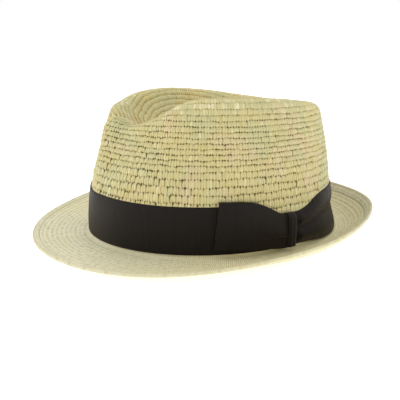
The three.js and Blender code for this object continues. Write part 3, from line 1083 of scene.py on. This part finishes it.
def bow_loop(look):
    """Ribbon that runs forward from the knot on the band, turns and comes back over itself."""
    steps = np.linspace(0, 1, LOOP_STEPS)
    stations = [(s, -90.0) for s in steps]
    stations += [(1.0, float(t)) for t in range(LOOP_TURN - 90, 90, LOOP_TURN)]
    stations += [(s, 90.0) for s in steps[::-1]]
    shares = np.linspace(0, 1, LOOP_SHARES)
    over = shares - PLEAT_SHARE
    fold_over = np.where(over > 0, bell(over / PLEAT_SOFT), bell(over / PLEAT_SHARP))
    fold = (RIBBON_WALL + LAYER_GAP) / 2
    sections, runs = [], []
    for along, degrees in stations:
        across, outwards = math.cos(math.radians(degrees)), math.sin(math.radians(degrees))
        drawn = bell(LOOP_LENGTH * along / LOOP_DRAWN)
        low = BAND_LIFT + LOOP_RAISE * (1 - drawn)
        high = BAND_LIFT + BAND_WIDTH + LOOP_RAISE - (GATHER_DIP + LOOP_RAISE) * drawn
        belly = LOOP_PUFF * math.sin(math.pi * along) * lerp(BELLY_EDGE, 1, np.sin(np.pi * shares))
        pleat = LOOP_PLEAT * drawn * fold_over
        section = []
        for radius in (fold + RIBBON_WALL / 2, fold - RIBBON_WALL / 2):
            lift = fold + radius * outwards + (0.5 + 0.5 * outwards) * (belly + pleat)
            length = (LOOP_LENGTH - LOOP_SLANT * shares) * along + radius * across
            out = LOOP_SEAT + RIBBON_WALL / 2 + lift
            section.append(wall_point(KNOT_ANGLE - length / KNOT_RATE, lerp(low, high, shares), out))
        sections.append(np.concatenate([section[0], section[1][::-1]]))
        run = LOOP_LENGTH * along * (1 if outwards > 0 else -1)
        runs.append(run_map(run, np.concatenate([shares, shares[::-1]]) * BAND_WIDTH))
    add_strip("ribbon_loop", sections, look, "bow_loop", runs)


def bow_knot(look):
    """Strap that closes over the bow, from the crown above the band to the band's foot."""
    half_turn = KNOT_WIDTH / 2 / KNOT_RATE
    low, high = (float(np.ravel(v)[0]) for v in band_edges(np.array([KNOT_ANGLE])))
    face = LOOP_FACE + LOOP_PLEAT + LAYER_GAP
    path = {
        "at": [0, 0.12, 0.2, 0.55, 1],
        "out": [SEAT_GAP, face * KNOT_CORNER, face, face + RIBBON_WALL / 2, face],
        "z": [
            high + LAYER_GAP,
            high + KNOT_OVERHANG,
            high - KNOT_OVERHANG,
            lerp(low, high, 0.5),
            low + KNOT_OVERHANG,
        ],
    }
    across = np.linspace(-1, 1, KNOT_SHARES)
    fold = KNOT_FOLD * bell((np.abs(across) - KNOT_FOLD_AT) / KNOT_FOLD_SPREAD)
    swell = KNOT_SWELL - KNOT_SWELL_FADE * across * across
    angle = KNOT_ANGLE + across * half_turn
    side = np.concatenate([across, across[::-1]]) * KNOT_WIDTH / 2
    sections, runs = [], []
    for at in np.linspace(0, 1, KNOT_STEPS):
        out = float(read(path, "at", "out", at))
        z = float(read(path, "at", "z", at))
        outer = wall_point(angle, z, out + RIBBON_WALL * swell + fold)
        sections.append(np.concatenate([outer, wall_point(angle, z, out)[::-1]]))
        runs.append(run_map(at * BAND_WIDTH, side))
    add_strip("ribbon_knot", sections, look, "bow_knot", runs)


# Stage
FLOOR_SIDE = 6.0
FLOOR_GLOW = 0.5
WORLD_STRENGTH = 1.0

# Lamps: where each stands and what it looks at, in metres, its size in metres and its power in watts
LAMPS = {
    "left": ((-0.5, -1.1, 0.7), (0, 0, 0.05), 0.7, 5.6),
    "right": ((0.8, 0.75, 0.09), (0, 0, 0.02), 0.5, 2.4),
    "top": ((-0.3, 0.2, 1.3), (0, 0, 0.05), 0.8, 3.8),
}


def floor():
    look = Look("floor")
    grain = look.noise(look.where(), 3)
    look.fill(look.shader, {
        "Base Color": look.mix(grain, (0.96, 0.96, 0.96, 1), (0.98, 0.98, 0.98, 1)),
        "Roughness": 0.9,
        "Emission Color": (1, 1, 1, 1),
        "Emission Strength": FLOOR_GLOW,
    })
    mesh = bpy.data.meshes.new("floor")
    corners = [(FLOOR_SIDE * x, FLOOR_SIDE * y, 0) for x, y in ((-1, -1), (1, -1), (1, 1), (-1, 1))]
    mesh.from_pydata(corners, [], [(0, 1, 2, 3)])
    mesh.materials.append(look.material)
    ground = bpy.data.objects.new("floor", mesh)
    bpy.context.scene.collection.objects.link(ground)


def lamp(name, place_at, target, size, power):
    data = bpy.data.lights.new(name, "AREA")
    data.shape = "DISK"
    data.size = size
    data.energy = power
    light = bpy.data.objects.new(name, data)
    light.location = place_at
    light.rotation_euler = (Vector(target) - Vector(place_at)).to_track_quat("-Z", "Y").to_euler()
    bpy.context.scene.collection.objects.link(light)


def lights():
    world = bpy.data.worlds.new("studio")
    bpy.context.scene.world = world
    world.use_nodes = True
    background = world.node_tree.nodes["Background"]
    background.inputs["Color"].default_value = (1, 1, 1, 1)
    background.inputs["Strength"].default_value = WORLD_STRENGTH
    for name, settings in LAMPS.items():
        lamp(name, *settings)
    bpy.context.scene.view_settings.view_transform = "Standard"


# Camera of the photograph, 400 pixels square. Its distance is from the middle of the brim break.
PHOTO_SIDE = 400
CAMERA_AZIMUTH = 59.98
CAMERA_ELEVATION = 17.11
CAMERA_DISTANCE = 480
CAMERA_ROLL = -1.157
FOCAL_PIXELS = 583.8
BREAK_PIXEL = (212.4, 221.2)
SENSOR_WIDTH = 36


def camera():
    data = bpy.data.cameras.new("photo_camera")
    data.sensor_width = SENSOR_WIDTH
    data.lens = FOCAL_PIXELS / PHOTO_SIDE * SENSOR_WIDTH
    data.shift_x = (PHOTO_SIDE / 2 - BREAK_PIXEL[0]) / PHOTO_SIDE
    data.shift_y = (BREAK_PIXEL[1] - PHOTO_SIDE / 2) / PHOTO_SIDE
    data.clip_start, data.clip_end = 0.01, 20
    azimuth, elevation = math.radians(CAMERA_AZIMUTH), math.radians(CAMERA_ELEVATION)
    back = Vector((
        math.sin(azimuth) * math.cos(elevation),
        -math.cos(azimuth) * math.cos(elevation),
        math.sin(elevation),
    ))
    eye = bpy.data.objects.new("photo_camera", data)
    turn = (-back).to_track_quat("-Z", "Y").to_matrix().to_4x4()
    roll = Matrix.Rotation(math.radians(-CAMERA_ROLL), 4, "Z")
    place_at = Vector(SHIFT * MM) + back * CAMERA_DISTANCE * MM
    eye.matrix_world = Matrix.Translation(place_at) @ turn @ roll
    bpy.context.scene.collection.objects.link(eye)
    bpy.context.scene.camera = eye


crown()
brim()
ribbon = ribbon_look()
band(ribbon)
bow_loop(ribbon)
bow_knot(ribbon)
floor()
lights()
camera()
